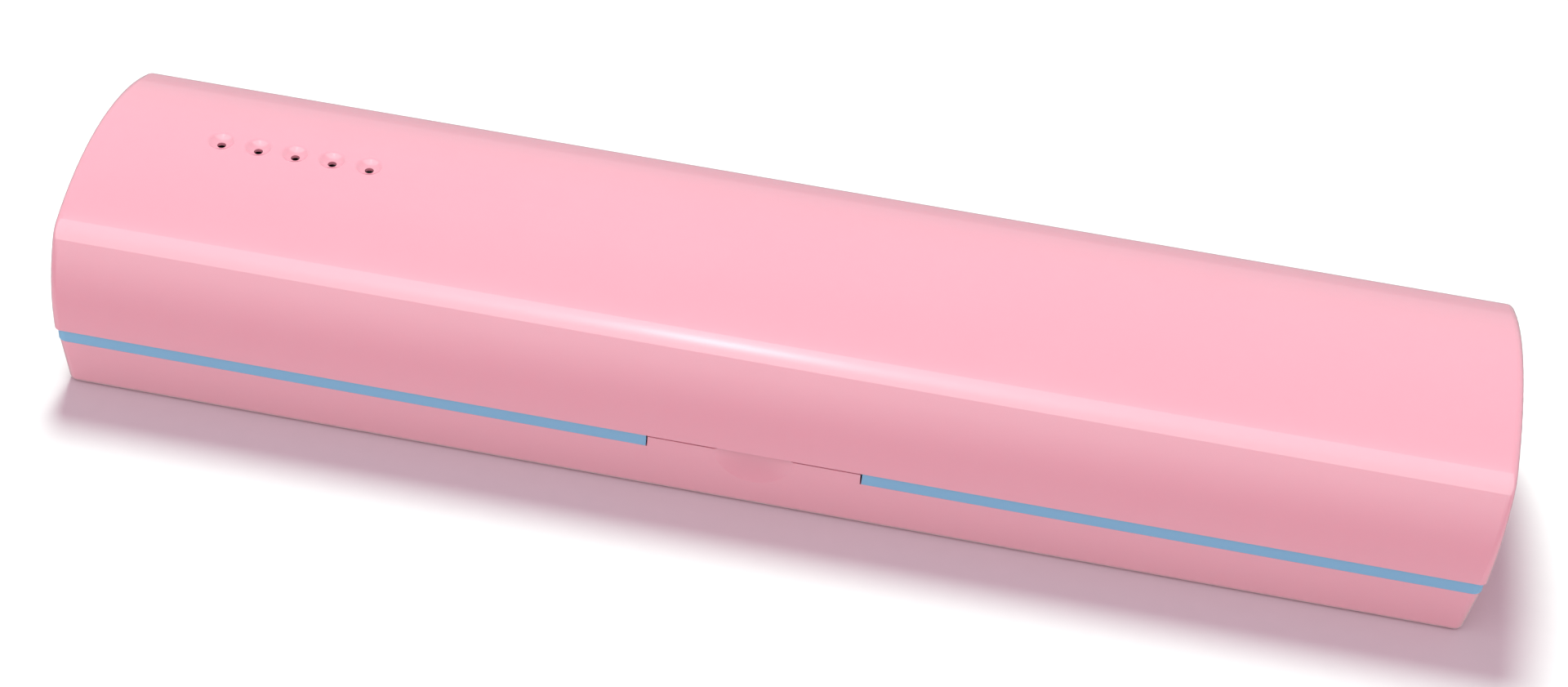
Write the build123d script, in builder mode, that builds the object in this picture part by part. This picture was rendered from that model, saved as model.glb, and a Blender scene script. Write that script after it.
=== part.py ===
"""Travel toothbrush sanitizer: a long moulded case with a hinged domed lid, built at real size.

Frame: millimetres, +Z up, the origin in the middle of the flat underside, X along the case,
-Y towards the thumb scoop at the front and +Y towards the hinge at the back.
"""
from build123d import *
import math
import os

# ---------------------------------------------------------------- driving dimensions
# Lid cross-section: side, shoulder and crown are tangent arcs, the same front and back.
HALF_WIDTH = 26.8          # widest half-width, at BELLY_Z
BELLY_Z = 7.4
SIDE_RADIUS = 31.7
SIDE_SWEEP = 32.5          # degrees that the side turns through, from upright
SHOULDER_RADIUS = 5.8
SHOULDER_SWEEP = 64.5      # degrees from upright at which the shoulder meets the crown
# Lid ends: one shallow arc in side view.
HALF_LENGTH = 110.0
END_RADIUS = 237.0
END_WIDEST_Z = 32.0
END_EDGE_RADIUS = 1.2
WALL = 1.8                 # lid and base wall
# Base tub
BASE_TOP = 8.3
BASE_FOOT = (107.6, 26.3)  # half-length and half-width at the underside
BASE_RIM = (108.6, 26.5)  # the same at BASE_TOP
CORNER_RADIUS = 1.5
FOOT_EDGE_RADIUS = 1.0
# Tray rim, the band that shows between base and lid
RIM_HALF = (108.75, 26.45)
RIM_TOP = 10.45
LID_BOTTOM = 10.5
BAND_GAP_HALF = 16.2       # the base rises to the lid between these, at the front
BAND_GAP_CLEARANCE = 0.25
BRIDGE_TOP = 10.15
# Tray
TUB_HALF = (105.5, 24.0)
TRAY_UNDER = 2.1
TRAY_WALL = 1.2
CHANNEL_FLOOR = 3.4
LIP_TOP = 12.4
HUMP_FRONT = -4.2
HUMP_BACK = 22.4
HUMP_HALF_LENGTH = 104.3
HUMP_TOP = 15.0
HUMP_CEILING = HUMP_TOP - TRAY_WALL
# Vents in the lid: a row of dimples with a hole in the bottom of each
VENT_COUNT = 5
VENT_FIRST_X = -90.2
VENT_PITCH = 5.88
DIMPLE_RADIUS = 2.05
DIMPLE_DEPTH = 0.95
DIMPLE_EDGE_RADIUS = 0.5
VENT_SKIN = 0.45           # wall left around a vent hole, under its dimple
VENT_HOLE_RADIUS = 0.68
# Thumb scoop
SCOOP_RADIUS = 6.1          # of the half-moon's outline
SCOOP_CENTRE_Z = 10.6
SCOOP_DEPTH = 1.15
# Hinge
HINGE_Y = 27.6
HINGE_Z = 10.45
HINGE_X = 62.0
KNUCKLE_RADIUS = 2.0
KNUCKLE_RELIEF = 2.35
PIN_RADIUS = 0.75
LID_KNUCKLE_HALF = 4.0
KNUCKLE_GAP = 0.2
BASE_KNUCKLE_LENGTH = 5.0
# Battery bay: two AAA cells side by side behind a door that slides out of the right end
CELL_RADIUS = 5.25
CELL_LENGTH = 43.3
NIPPLE_RADIUS = 1.9
NIPPLE_LENGTH = 1.2
CELL_Y = (4.4, 15.4)
CELL_Z = 7.75
BAY_X = (54.0, 102.6)      # inside of the battery bay
CELL_END_GAP = 2.8         # from the bay's wall to a cell's flat end
DOOR_X = 52.4
DOOR_Y = (-0.75, 20.55)
DOOR_FLANGE = 1.1
DOOR_FLANGE_Z = (1.9, 2.5)
DOOR_END_TOP = 5.6
SLIDE_GAP = 0.15
# Lamp
TUBE_Y = 8.4
TUBE_Z = 8.3
TUBE_RADIUS = 3.0
TUBE_BORE = 2.45
TUBE_X = (-99.0, -51.0)
CAP_RADIUS = 3.5
CAP_LENGTH = 5.0
LAMP_BAY = (-103.0, -46.6)
WINDOW_X = (-101.0, -48.6)
WINDOW_BACK_Y = 19.0
WINDOW_SILL_Z = 6.6
GUARD_BEND = 5.0
# Circuit board and lid switch
BOARD_X = (-38.6, 43.0)
BOARD_Y = (0.4, 20.6)
BOARD_Z = 4.2
BOARD_TOP = 5.2
SWITCH_X = -31.0
SWITCH_Y = 10.9
SWITCH_SIDE = 6.0
SWITCH_TOP = 8.7
BUTTON_RADIUS = 1.7
BUTTON_TOP = 9.2
PLUNGER_TRAVEL = 1.2
PLUNGER_RADIUS = 2.0
PLUNGER_TOP = 16.0
# Fasteners
SHANK_RADIUS = 1.0
SHANK_BORE = 1.05
CASE_SCREW_AT = ((-42.6, 2.8), (-42.6, 19.6), (47.6, 2.8), (47.6, 19.6))
CASE_SCREW_LENGTH = 9.0
BOARD_SCREW_AT = ((-35.8, 3.0), (-35.8, 18.0), (40.2, 3.0), (40.2, 18.0))

# ---------------------------------------------------------------- worked-out dimensions
SIDE_CENTRE_Y = HALF_WIDTH - SIDE_RADIUS
side_turn = math.radians(SIDE_SWEEP)
shoulder_turn = math.radians(SHOULDER_SWEEP)
SHOULDER_CENTRE_Y = SIDE_CENTRE_Y + (SIDE_RADIUS - SHOULDER_RADIUS) * math.cos(side_turn)
SHOULDER_CENTRE_Z = BELLY_Z + (SIDE_RADIUS - SHOULDER_RADIUS) * math.sin(side_turn)
CROWN_RADIUS = SHOULDER_RADIUS + SHOULDER_CENTRE_Y / math.cos(shoulder_turn)
CROWN_CENTRE_Z = SHOULDER_CENTRE_Z - (CROWN_RADIUS - SHOULDER_RADIUS) * math.sin(shoulder_turn)
CASE_HEIGHT = CROWN_CENTRE_Z + CROWN_RADIUS
FLOOR_TOP = WALL


def lid_section(inset, bottom):
    """Closed outline of the lid in the YZ plane, each arc drawn in by inset, cut flat at bottom."""
    low = math.degrees(math.asin((bottom - BELLY_Z) / (SIDE_RADIUS - inset)))
    with BuildSketch(Plane.YZ) as section:
        with BuildLine():
            right = CenterArc((SIDE_CENTRE_Y, BELLY_Z), SIDE_RADIUS - inset, low, SIDE_SWEEP - low)
            CenterArc((SHOULDER_CENTRE_Y, SHOULDER_CENTRE_Z), SHOULDER_RADIUS - inset,
                      SIDE_SWEEP, SHOULDER_SWEEP - SIDE_SWEEP)
            CenterArc((0, CROWN_CENTRE_Z), CROWN_RADIUS - inset,
                      SHOULDER_SWEEP, 180 - 2 * SHOULDER_SWEEP)
            CenterArc((-SHOULDER_CENTRE_Y, SHOULDER_CENTRE_Z), SHOULDER_RADIUS - inset,
                      180 - SHOULDER_SWEEP, SHOULDER_SWEEP - SIDE_SWEEP)
            left = CenterArc((-SIDE_CENTRE_Y, BELLY_Z), SIDE_RADIUS - inset,
                             180 - SIDE_SWEEP, SIDE_SWEEP - low)
            Line(left @ 1, right @ 0)
        make_face()
    return section.sketch


def lid_elevation(inset, bottom, top):
    """Outline of the lid in the XZ plane, with its two shallow end arcs drawn in by inset."""
    radius = END_RADIUS - inset
    centre_x = HALF_LENGTH - END_RADIUS
    low = math.degrees(math.asin((bottom - END_WIDEST_Z) / radius))
    high = math.degrees(math.asin((top - END_WIDEST_Z) / radius))
    with BuildSketch(Plane.XZ.offset(-HALF_WIDTH - 4)) as elevation:
        with BuildLine():
            right = CenterArc((centre_x, END_WIDEST_Z), radius, low, high - low)
            left = CenterArc((-centre_x, END_WIDEST_Z), radius, 180 - high, high - low)
            Line(right @ 1, left @ 0)
            Line(left @ 1, right @ 0)
        make_face()
    return elevation.sketch


def knuckle(centre_x, half, radius):
    """A cylinder on the hinge axis."""
    barrel = Cylinder(radius, 2 * half, mode=Mode.PRIVATE)
    return Pos(centre_x, HINGE_Y, HINGE_Z) * Rot(0, 90, 0) * barrel


def block(x, y, z):
    """A box from the low and high limits along each axis."""
    size = (x[1] - x[0], y[1] - y[0], z[1] - z[0])
    middle = ((x[0] + x[1]) / 2, (y[0] + y[1]) / 2, (z[0] + z[1]) / 2)
    return Pos(*middle) * Box(*size, mode=Mode.PRIVATE)


def hinge_web(points, centre_x, half):
    """A web of that YZ outline, half to each side of centre_x."""
    with BuildPart(mode=Mode.PRIVATE) as web:
        with BuildSketch(Plane.YZ.offset(centre_x)):
            with BuildLine():
                Polyline(*points, close=True)
            make_face()
        extrude(amount=half, both=True)
    return web.part


HINGES = (-HINGE_X, HINGE_X)
BASE_KNUCKLE_AT = [
    hinge + side * (LID_KNUCKLE_HALF + KNUCKLE_GAP + BASE_KNUCKLE_LENGTH / 2)
    for hinge in HINGES for side in (-1, 1)
]
BASE_KNUCKLE_HALF = BASE_KNUCKLE_LENGTH / 2
VENTS_X = [VENT_FIRST_X + i * VENT_PITCH for i in range(VENT_COUNT)]

# ---------------------------------------------------------------- lid shell
LID_WEB = [(HINGE_Y, HINGE_Z + 0.1), (HINGE_Y + KNUCKLE_RADIUS, HINGE_Z + 0.1), (25.35, 16.0),
           (24.8, 16.0), (25.8, HINGE_Z + 0.1)]
STOP_NOSE = [(HINGE_Y, HINGE_Z - 0.1), (HINGE_Y + 2.75, HINGE_Z - 0.1),
             (HINGE_Y + 2.75, HINGE_Z + 0.5), (HINGE_Y + 1.2, HINGE_Z + 1.6), (HINGE_Y, HINGE_Z + 1)]
POST_ROOT_Z = 28.3
BEAD_Z = 11.6
DIMPLE_BALL = (DIMPLE_RADIUS ** 2 + DIMPLE_DEPTH ** 2) / (2 * DIMPLE_DEPTH)

with BuildPart() as lid_shell:
    extrude(lid_section(0, LID_BOTTOM), amount=HALF_LENGTH + 2, both=True)
    extrude(lid_elevation(0, LID_BOTTOM, CASE_HEIGHT + 2), amount=2 * HALF_WIDTH + 8,
            mode=Mode.INTERSECT)
    for end in (-1, 1):
        rim = lid_shell.faces().sort_by(Axis.X)[0 if end < 0 else -1].edges()
        fillet(rim.filter_by(lambda e: e.center().Z > LID_BOTTOM + 0.5), END_EDGE_RADIUS)
    with BuildPart(mode=Mode.PRIVATE) as hollow:
        extrude(lid_section(WALL, LID_BOTTOM), amount=HALF_LENGTH, both=True)
        extrude(lid_elevation(WALL, LID_BOTTOM, CASE_HEIGHT), amount=2 * HALF_WIDTH + 8,
                mode=Mode.INTERSECT)
    add(hollow.part, mode=Mode.SUBTRACT)
    # dimpled vents
    with Locations(*[(x, 0, CASE_HEIGHT - DIMPLE_DEPTH + DIMPLE_BALL) for x in VENTS_X]):
        Sphere(DIMPLE_BALL, mode=Mode.SUBTRACT)
    fillet(lid_shell.edges(Select.LAST), DIMPLE_EDGE_RADIUS)
    relief_x = (VENTS_X[0] - DIMPLE_RADIUS, VENTS_X[-1] + DIMPLE_RADIUS)
    relief_top = CASE_HEIGHT - DIMPLE_DEPTH - VENT_SKIN
    add(block(relief_x, (-DIMPLE_RADIUS, DIMPLE_RADIUS), (relief_top - WALL, relief_top)),
        mode=Mode.SUBTRACT)
    with Locations(*[(x, 0, CASE_HEIGHT - WALL) for x in VENTS_X]):
        Cylinder(VENT_HOLE_RADIUS, 4 * WALL, mode=Mode.SUBTRACT)
    # post that holds the lid switch down
    with Locations((SWITCH_X, SWITCH_Y, PLUNGER_TOP + 0.05)):
        Cylinder(1.7, POST_ROOT_Z - PLUNGER_TOP, align=(Align.CENTER, Align.CENTER, Align.MIN))
    # closing bead inside the front edge
    bead_y = -(SIDE_CENTRE_Y + math.sqrt((SIDE_RADIUS - WALL) ** 2 - (BEAD_Z - BELLY_Z) ** 2))
    with Locations((0, bead_y, BEAD_Z)):
        Cylinder(0.18, 2 * BAND_GAP_HALF - 8, rotation=(0, 90, 0))
    # hinge: clear the base's knuckles, then grow the lid's own
    for centre in BASE_KNUCKLE_AT:
        add(knuckle(centre, BASE_KNUCKLE_HALF + KNUCKLE_GAP, KNUCKLE_RELIEF), mode=Mode.SUBTRACT)
    for hinge in HINGES:
        add(knuckle(hinge, LID_KNUCKLE_HALF, KNUCKLE_RADIUS))
        add(hinge_web(LID_WEB, hinge, LID_KNUCKLE_HALF))
        add(hinge_web(STOP_NOSE, hinge, LID_KNUCKLE_HALF / 2))
        add(knuckle(hinge, LID_KNUCKLE_HALF + 1, PIN_RADIUS + 0.05), mode=Mode.SUBTRACT)
lid_shell.part.label = "lid_shell"

# ---------------------------------------------------------------- base shell
BASE_WEB = [(HINGE_Y, HINGE_Z - 0.1), (HINGE_Y + KNUCKLE_RADIUS, HINGE_Z - 0.1), (26.3, 4.2),
            (25.2, 4.2), (25.2, BASE_TOP), (25.8, HINGE_Z - 0.1)]
BOSS_RADIUS = 2.2
SCOOP_BALL = (SCOOP_RADIUS ** 2 + SCOOP_DEPTH ** 2) / (2 * SCOOP_DEPTH)
SCOOP_BALL_Y = -BASE_RIM[1] - SCOOP_BALL + SCOOP_DEPTH
HOOK = 0.8

with BuildPart() as base_shell:
    with BuildSketch(Plane.XY):
        RectangleRounded(2 * BASE_FOOT[0], 2 * BASE_FOOT[1], CORNER_RADIUS)
    with BuildSketch(Plane.XY.offset(BASE_TOP)):
        RectangleRounded(2 * BASE_RIM[0], 2 * BASE_RIM[1], CORNER_RADIUS)
    loft()
    fillet(base_shell.faces().sort_by(Axis.Z)[0].edges(), FOOT_EDGE_RADIUS)
    with BuildSketch(Plane.XY.offset(FLOOR_TOP)):
        RectangleRounded(2 * (BASE_FOOT[0] - WALL), 2 * (BASE_FOOT[1] - WALL), 0.8)
    with BuildSketch(Plane.XY.offset(BASE_TOP)):
        RectangleRounded(2 * (BASE_RIM[0] - WALL), 2 * (BASE_RIM[1] - WALL), 0.8)
    loft(mode=Mode.SUBTRACT)
    # raised bridge at the front, with the thumb scoop
    bridge_y = (-BASE_RIM[1], -BASE_RIM[1] + WALL)
    add(block((-BAND_GAP_HALF, BAND_GAP_HALF), bridge_y, (BASE_TOP - 0.5, BRIDGE_TOP)))
    with Locations((0, SCOOP_BALL_Y, SCOOP_CENTRE_Z)):
        Sphere(SCOOP_BALL, mode=Mode.SUBTRACT)
    # posts under the circuit board and countersunk holes for the case screws
    with Locations(*[(x, y, FLOOR_TOP) for x, y in BOARD_SCREW_AT]):
        Cylinder(BOSS_RADIUS, BOARD_Z - FLOOR_TOP, align=(Align.CENTER, Align.CENTER, Align.MIN))
    with Locations(*[(x, y, BOARD_Z) for x, y in BOARD_SCREW_AT]):
        Hole(0.8, depth=BOARD_Z - 0.8)
    with Locations(*[Pos(x, y, 0) * Rot(180, 0, 0) for x, y in CASE_SCREW_AT]):
        CounterSinkHole(SHANK_BORE, 2.15, depth=FLOOR_TOP)
    # battery door: opening, the way out of the end wall, and a guide rail along each side
    door_y = (DOOR_Y[0] - SLIDE_GAP, DOOR_Y[1] + SLIDE_GAP)
    flange_y = (DOOR_Y[0] - DOOR_FLANGE - SLIDE_GAP, DOOR_Y[1] + DOOR_FLANGE + SLIDE_GAP)
    add(block((DOOR_X - SLIDE_GAP, 115), door_y, (-1, 3.5)), mode=Mode.SUBTRACT)
    add(block((BASE_FOOT[0] - WALL - 1, 115), flange_y, (-1, DOOR_END_TOP + SLIDE_GAP)),
        mode=Mode.SUBTRACT)
    for edge, out in ((flange_y[0], -1), (flange_y[1], 1)):
        rail_x = (DOOR_X - 2, HUMP_HALF_LENGTH - TRAY_WALL - 0.2)
        add(block(rail_x, sorted((edge, edge + out * HOOK)), (FLOOR_TOP - 0.2, 3.5)))
        add(block(rail_x, sorted((edge - out * HOOK, edge + out * HOOK)),
                  (DOOR_FLANGE_Z[1] + SLIDE_GAP, 3.5)))
    # hinge: clear the lid's knuckles, then grow the base's own
    for hinge in HINGES:
        add(knuckle(hinge, LID_KNUCKLE_HALF + KNUCKLE_GAP, KNUCKLE_RELIEF), mode=Mode.SUBTRACT)
    for centre in BASE_KNUCKLE_AT:
        add(knuckle(centre, BASE_KNUCKLE_HALF, KNUCKLE_RADIUS))
        add(hinge_web(BASE_WEB, centre, BASE_KNUCKLE_HALF))
        add(knuckle(centre, BASE_KNUCKLE_HALF + 1, PIN_RADIUS), mode=Mode.SUBTRACT)
base_shell.part.label = "base_shell"

# ---------------------------------------------------------------- inner tray
CRADLES_X = (-62.0, -8.0, 46.0)
CRADLE_TOP = 8.0
CRADLE_NOTCH_RADIUS = 5.2
CAVITY_STEP_Z = 11.0

with BuildPart() as inner_tray:
    with BuildSketch(Plane.XY.offset(BASE_TOP)):
        RectangleRounded(2 * RIM_HALF[0], 2 * RIM_HALF[1], CORNER_RADIUS)
    extrude(amount=RIM_TOP - BASE_TOP)
    with BuildSketch(Plane.XY.offset(TRAY_UNDER)):
        RectangleRounded(2 * TUB_HALF[0], 2 * TUB_HALF[1], CORNER_RADIUS)
    extrude(amount=LIP_TOP - TRAY_UNDER)
    # brush channel along the front, with its long edges rounded
    channel_y = (-TUB_HALF[1] + TRAY_WALL, HUMP_FRONT)
    channel_x = (-TUB_HALF[0] + TRAY_WALL, TUB_HALF[0] - TRAY_WALL)
    with BuildPart(mode=Mode.PRIVATE) as channel:
        add(block(channel_x, channel_y, (CHANNEL_FLOOR, LIP_TOP + 1)))
        fillet(channel.edges().filter_by(Axis.Z), 4)
        fillet(channel.faces().sort_by(Axis.Z)[0].edges(), 1.5)
    add(channel.part, mode=Mode.SUBTRACT)
    # cradle ribs that hold the brush handle
    for x in CRADLES_X:
        with BuildPart(mode=Mode.PRIVATE) as cradle:
            add(block((x - 0.9, x + 0.9), channel_y, (CHANNEL_FLOOR - 0.3, CRADLE_TOP)))
            with Locations((x, (channel_y[0] + channel_y[1]) / 2, CRADLE_TOP + 1.2)):
                Cylinder(CRADLE_NOTCH_RADIUS, 4, rotation=(0, 90, 0), mode=Mode.SUBTRACT)
            fillet(cradle.edges().filter_by(Axis.X).group_by(Axis.Z)[-1], 0.8)
        add(cradle.part)
    # raised housing along the back, hollow underneath
    with BuildPart(mode=Mode.PRIVATE) as hump:
        add(block((-HUMP_HALF_LENGTH, HUMP_HALF_LENGTH), (HUMP_FRONT, HUMP_BACK), (8, HUMP_TOP)))
        fillet(hump.edges().filter_by(Axis.Z), 2.5)
        fillet(hump.faces().sort_by(Axis.Z)[-1].edges(), 1.0)
    add(hump.part)
    cavity_x = (-HUMP_HALF_LENGTH + TRAY_WALL, HUMP_HALF_LENGTH - TRAY_WALL)
    cavity_y = (HUMP_FRONT + TRAY_WALL, HUMP_BACK - TRAY_WALL)
    add(block(cavity_x, cavity_y, (0, HUMP_CEILING)), mode=Mode.SUBTRACT)
    add(block(cavity_x, (cavity_y[0], TUB_HALF[1] - TRAY_WALL), (0, CAVITY_STEP_Z)),
        mode=Mode.SUBTRACT)
    # walls across the housing: lamp bay, battery bay and its far end
    for x, low in ((-45.2, 6.0), (BAY_X[0] - 0.6, 3.8), (BAY_X[1] + 0.6, 3.8)):
        add(block((x - 0.6, x + 0.6), (cavity_y[0] - 0.2, cavity_y[1] + 0.2),
                  (low, HUMP_CEILING + 0.2)))
    # lamp window, wrapping from the front of the housing onto its top
    add(block(WINDOW_X, (HUMP_FRONT - 1, WINDOW_BACK_Y), (WINDOW_SILL_Z, HUMP_TOP + 1)),
        mode=Mode.SUBTRACT)
    # hole for the lid switch
    with Locations((SWITCH_X, SWITCH_Y, HUMP_TOP)):
        Cylinder(PLUNGER_RADIUS + 0.15, 6, mode=Mode.SUBTRACT)
    # screw posts
    with Locations(*[(x, y, FLOOR_TOP + 0.1) for x, y in CASE_SCREW_AT]):
        Cylinder(2.6, HUMP_CEILING - FLOOR_TOP, align=(Align.CENTER, Align.CENTER, Align.MIN))
        Cylinder(SHANK_BORE, 8.6, align=(Align.CENTER, Align.CENTER, Align.MIN),
                 mode=Mode.SUBTRACT)
    # room for the base's bridge and for the lid's knuckles
    gap_half = BAND_GAP_HALF + BAND_GAP_CLEARANCE
    add(block((-gap_half, gap_half), (-28, -BASE_RIM[1] + WALL + 0.15), (8, RIM_TOP + 0.5)),
        mode=Mode.SUBTRACT)
    for hinge in HINGES:
        hinge_half = LID_KNUCKLE_HALF + 2 * KNUCKLE_GAP + BASE_KNUCKLE_LENGTH
        add(block((hinge - hinge_half, hinge + hinge_half), (24.9, 28), (7, RIM_TOP + 1)),
            mode=Mode.SUBTRACT)
    # way out for the battery door's side flanges
    way_out_x = (HUMP_HALF_LENGTH - TRAY_WALL - 0.2, BASE_FOOT[0])
    add(block(way_out_x, flange_y, (0, DOOR_FLANGE_Z[1] + SLIDE_GAP)), mode=Mode.SUBTRACT)
inner_tray.part.label = "inner_tray"

# ---------------------------------------------------------------- hinge pins
with BuildPart() as hinge_pins:
    for hinge in HINGES:
        add(knuckle(hinge, LID_KNUCKLE_HALF + BASE_KNUCKLE_LENGTH, PIN_RADIUS))
hinge_pins.part.label = "hinge_pins"

# ---------------------------------------------------------------- battery door
GRIP_X = (88.0, 91.0, 94.0, 97.0)

with BuildPart() as battery_door:
    with BuildSketch(Plane.XY):
        RectangleRounded(2 * BASE_FOOT[0], 2 * BASE_FOOT[1], CORNER_RADIUS)
    with BuildSketch(Plane.XY.offset(BASE_TOP)):
        RectangleRounded(2 * BASE_RIM[0], 2 * BASE_RIM[1], CORNER_RADIUS)
    loft()
    fillet(battery_door.faces().sort_by(Axis.Z)[0].edges(), FOOT_EDGE_RADIUS)
    with BuildPart(mode=Mode.PRIVATE) as door_form:
        add(block((DOOR_X, 112), DOOR_Y, (-1, FLOOR_TOP)))
        door_end_y = (DOOR_Y[0] - DOOR_FLANGE, DOOR_Y[1] + DOOR_FLANGE)
        add(block((BASE_FOOT[0] - WALL, 112), door_end_y, (-1, DOOR_END_TOP)))
    add(door_form.part, mode=Mode.INTERSECT)
    for y0, y1 in ((door_end_y[0], DOOR_Y[0] + 1), (DOOR_Y[1] - 1, door_end_y[1])):
        add(block((DOOR_X + 0.3, BASE_FOOT[0] - WALL + 0.5), (y0, y1), DOOR_FLANGE_Z))
    for y in (DOOR_Y[0] + 0.5, DOOR_Y[1] - 0.5):
        add(block((DOOR_X + 0.3, BASE_FOOT[0] - WALL + 0.5), (y - 0.5, y + 0.5),
                  (FLOOR_TOP - 0.3, DOOR_FLANGE_Z[1])))
    # grip ribs cut across the outside
    for x in GRIP_X:
        add(block((x, x + 1.2), (4.4, 15.4), (-1, 0.5)), mode=Mode.SUBTRACT)
battery_door.part.label = "battery_door"

# ---------------------------------------------------------------- batteries and their contacts
PLATE = 0.4
PLATE_Z = (2.7, 12.4)
PLATE_HALF = 4.2
TOUCH_GAP = 0.05
SPRING_WIRE = 0.25


def along_x(radius, x, y, z):
    """A cylinder along X between the two limits in x."""
    rod = Cylinder(radius, x[1] - x[0], mode=Mode.PRIVATE)
    return Pos((x[0] + x[1]) / 2, y, z) * Rot(0, 90, 0) * rod


def coil(radius, wire, length, turns):
    """A helical spring standing on the XY plane, its centreline of that length."""
    path = Helix(pitch=length / turns, height=length, radius=radius, mode=Mode.PRIVATE)
    start = Plane(origin=path @ 0, z_dir=path % 0)
    with BuildSketch(start, mode=Mode.PRIVATE) as end:
        Circle(wire)
    return sweep(end.sketch, path=path, is_frenet=True, mode=Mode.PRIVATE)


cell_front = (BAY_X[0] + CELL_END_GAP, BAY_X[0] + CELL_END_GAP + CELL_LENGTH)
cell_back = (BAY_X[1] - CELL_END_GAP - CELL_LENGTH, BAY_X[1] - CELL_END_GAP)
nipple_front = (cell_front[1], cell_front[1] + NIPPLE_LENGTH)
nipple_back = (cell_back[0] - NIPPLE_LENGTH, cell_back[0])

with BuildPart() as battery_cells:
    for y, can, nipple in ((CELL_Y[0], cell_front, nipple_front),
                           (CELL_Y[1], cell_back, nipple_back)):
        with BuildPart(mode=Mode.PRIVATE) as cell:
            add(along_x(CELL_RADIUS, can, y, CELL_Z))
            fillet(cell.edges(), 0.5)
            add(along_x(NIPPLE_RADIUS, nipple, y, CELL_Z))
        add(cell.part)
battery_cells.part.label = "battery_cells"

with BuildPart() as battery_terminals:
    for y in CELL_Y:
        add(block((BAY_X[0], BAY_X[0] + PLATE), (y - PLATE_HALF, y + PLATE_HALF), PLATE_Z))
    button_left = (BAY_X[0] + PLATE - 0.1, nipple_back[0] - TOUCH_GAP)
    add(along_x(1.5, button_left, CELL_Y[1], CELL_Z))
battery_terminals.part.label = "battery_terminals"

with BuildPart() as bridge_contact:
    bridge_half_y = (CELL_Y[0] - PLATE_HALF, CELL_Y[1] + PLATE_HALF)
    add(block((BAY_X[1] - PLATE, BAY_X[1]), bridge_half_y, PLATE_Z))
    button_right = (nipple_front[1] + TOUCH_GAP, BAY_X[1] - PLATE + 0.1)
    add(along_x(1.5, button_right, CELL_Y[0], CELL_Z))
bridge_contact.part.label = "bridge_contact"

spring_length = CELL_END_GAP - PLATE - 2 * SPRING_WIRE - 2 * TOUCH_GAP
contact_coil = coil(2.4, SPRING_WIRE, spring_length, 3)
with BuildPart() as contact_springs:
    left_x = BAY_X[0] + PLATE + SPRING_WIRE + TOUCH_GAP
    right_x = BAY_X[1] - PLATE - SPRING_WIRE - TOUCH_GAP
    add(Pos(left_x, CELL_Y[0], CELL_Z) * Rot(0, 90, 0) * contact_coil)
    add(Pos(right_x, CELL_Y[1], CELL_Z) * Rot(0, -90, 0) * contact_coil)
contact_springs.part.label = "contact_springs"

# ---------------------------------------------------------------- lamp
CAP_FLOOR = 1.5
HOLDER_HALF = 4.4
HOLDER_TOP = 10.4
REFLECTOR_RADIUS = 5.6
REFLECTOR_SHEET = 0.4
REFLECTOR_SWEEP = (-112.0, 48.0)
cap_left = (TUBE_X[0] - CAP_FLOOR, TUBE_X[0] - CAP_FLOOR + CAP_LENGTH)
cap_right = (TUBE_X[1] + CAP_FLOOR - CAP_LENGTH, TUBE_X[1] + CAP_FLOOR)

with BuildPart() as lamp_tube:
    add(along_x(TUBE_RADIUS, TUBE_X, TUBE_Y, TUBE_Z))
    fillet(lamp_tube.edges(), 0.8)
    bore_x = (TUBE_X[0] + 1.2, TUBE_X[1] - 1.2)
    add(along_x(TUBE_BORE, bore_x, TUBE_Y, TUBE_Z), mode=Mode.SUBTRACT)
lamp_tube.part.label = "lamp_tube"

with BuildPart() as lamp_caps:
    for cap in (cap_left, cap_right):
        add(along_x(CAP_RADIUS, cap, TUBE_Y, TUBE_Z))
    tube_room = (TUBE_X[0] - TOUCH_GAP, TUBE_X[1] + TOUCH_GAP)
    add(along_x(TUBE_RADIUS + TOUCH_GAP, tube_room, TUBE_Y, TUBE_Z), mode=Mode.SUBTRACT)
lamp_caps.part.label = "lamp_caps"

with BuildPart() as lamp_electrodes:
    for x in ((bore_x[0] + 0.05, bore_x[0] + 5), (bore_x[1] - 5, bore_x[1] - 0.05)):
        add(along_x(1.0, x, TUBE_Y, TUBE_Z))
lamp_electrodes.part.label = "lamp_electrodes"

with BuildPart() as lamp_holders:
    for cap in (cap_left, cap_right):
        add(block((cap[0] + 1, cap[1] - 1), (TUBE_Y - HOLDER_HALF, TUBE_Y + HOLDER_HALF),
                  (FLOOR_TOP, HOLDER_TOP)))
    for cap in (cap_left, cap_right):
        add(along_x(CAP_RADIUS + TOUCH_GAP, cap, TUBE_Y, TUBE_Z), mode=Mode.SUBTRACT)
        add(block(cap, (TUBE_Y - 3.2, TUBE_Y + 3.2), (TUBE_Z, HOLDER_TOP + 1)),
            mode=Mode.SUBTRACT)
lamp_holders.part.label = "lamp_holders"

with BuildPart() as reflector:
    sweep_angle = REFLECTOR_SWEEP[1] - REFLECTOR_SWEEP[0]
    with BuildSketch(Plane.YZ.offset(cap_left[1] + 0.4)):
        with BuildLine():
            inner = CenterArc((TUBE_Y, TUBE_Z), REFLECTOR_RADIUS, REFLECTOR_SWEEP[0], sweep_angle)
            outer = CenterArc((TUBE_Y, TUBE_Z), REFLECTOR_RADIUS + REFLECTOR_SHEET,
                              REFLECTOR_SWEEP[0], sweep_angle)
            Line(inner @ 0, outer @ 0)
            Line(inner @ 1, outer @ 1)
        make_face()
    extrude(amount=cap_right[0] - cap_left[1] - 0.8)
reflector.part.label = "reflector"

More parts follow.
